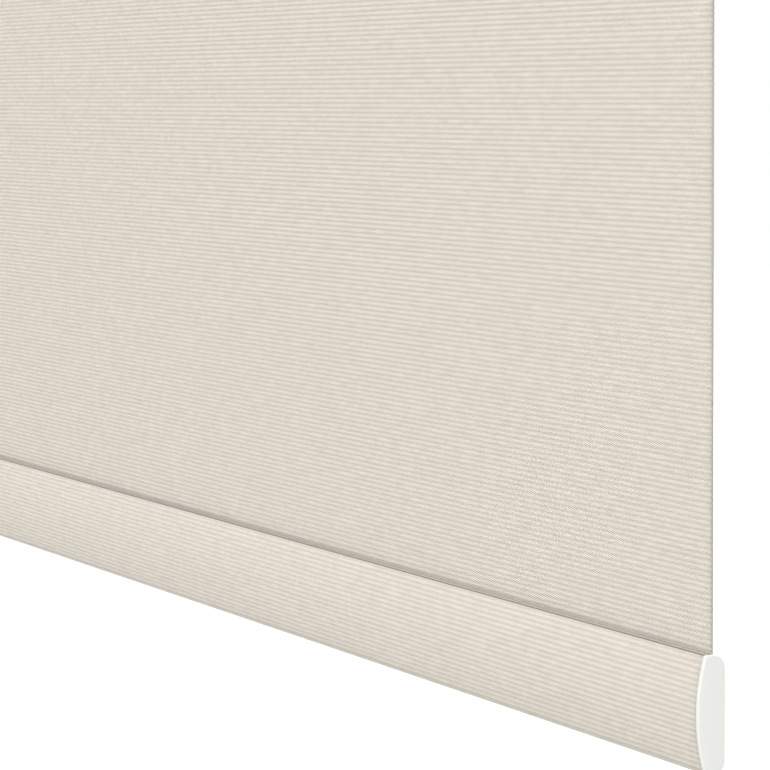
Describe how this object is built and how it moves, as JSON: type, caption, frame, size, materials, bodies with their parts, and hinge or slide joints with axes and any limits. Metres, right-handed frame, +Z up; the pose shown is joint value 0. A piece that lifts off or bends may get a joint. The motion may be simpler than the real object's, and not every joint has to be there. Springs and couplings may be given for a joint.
{
  "type": "roller blind",
  "caption": "Cordless spring roller blind: ribbed cloth on a grooved tube between wall brackets, with a cloth-wrapped bottom bar and flat end caps.",
  "frame": {"origin": "on the wall plane, midway between the two brackets and level with the roller's axis", "axes": "+X along the roller, +Y into the wall, +Z up; the room side is -Y"},
  "size_m": [0.7146, 0.087, 0.9225],
  "materials": {
    "fabric": "ribbed light-filtering polyester cloth, cream",
    "cap_plastic": "moulded end cap, satin off-white",
    "cover_plastic": "moulded bracket cover, satin white",
    "nylon": "natural nylon and PVC",
    "grey_plastic": "glass-filled grey nylon",
    "aluminium": "mill-finish extrusion",
    "zinc_plate": "bright zinc-plated steel",
    "spring_steel": "oiled spring wire",
    "white_paint": "white powder coat on pressed steel"
  },
  "bodies": {
    "wall_set": {"bracket_left": "white_paint", "bracket_right": "white_paint", "cover_left": "cover_plastic", "cover_right": "cover_plastic", "screw_left_upper": "zinc_plate", "screw_left_lower": "zinc_plate", "screw_right_upper": "zinc_plate", "screw_right_lower": "zinc_plate", "keeper_rivet": "zinc_plate", "spade_spindle": "zinc_plate", "ratchet_wheel": "zinc_plate", "torsion_spring": "spring_steel", "fabric_drop": "fabric"},
    "roller": {"roller_tube": "aluminium", "tube_spline": "nylon", "fabric_roll": "fabric", "spring_end_cup": "zinc_plate", "bearing_bush": "nylon", "pawl_pin_upper": "zinc_plate", "pawl_pin_lower": "zinc_plate", "spring_anchor_plug": "grey_plastic", "idle_end_plug": "grey_plastic"},
    "bottom_bar": {"bottom_rail": "aluminium", "rail_wrap": "fabric", "hem_rod": "nylon", "rail_end_cap_left": "cap_plastic", "rail_end_cap_right": "cap_plastic"},
    "pawl_upper": {"pawl_upper": "zinc_plate"},
    "pawl_lower": {"pawl_lower": "zinc_plate"},
    "idle_pin": {"idle_pin": "zinc_plate", "idle_pin_spring": "spring_steel"},
    "keeper": {"spade_keeper": "zinc_plate"}
  },
  "joints": [
    {"name": "rail_lift", "type": "slide", "parent": "wall_set", "child": "bottom_bar", "axis": [0, 0, 1], "range_m": [0, 0.83], "deforming": ["fabric_drop"]},
    {"name": "roller_spin", "type": "hinge", "parent": "wall_set", "child": "roller", "pos_m": [0, -0.0338, 0], "axis": [1, 0, 0], "range_deg": [0, 2585]},
    {"name": "pawl_upper_swing", "type": "hinge", "parent": "roller", "child": "pawl_upper", "pos_m": [-0.3369, -0.02508, 0.0081], "axis": [-1, 0, 0], "range_deg": [0, 41.8]},
    {"name": "pawl_lower_swing", "type": "hinge", "parent": "roller", "child": "pawl_lower", "pos_m": [-0.3369, -0.04252, -0.0081], "axis": [-1, 0, 0], "range_deg": [-41.8, 0]},
    {"name": "idle_pin_retract", "type": "slide", "parent": "roller", "child": "idle_pin", "axis": [-1, 0, 0], "range_m": [0, 0.006], "stiffness_N_per_m": 400, "springref_m": -0.004},
    {"name": "keeper_swing", "type": "hinge", "parent": "wall_set", "child": "keeper", "pos_m": [-0.3476, -0.0448, 0.01], "axis": [-1, 0, 0], "range_deg": [0, 80]}
  ],
  "couplings": [
    {"joint": "roller_spin", "follows": "rail_lift", "rad_per_m": 54.348}
  ]
}
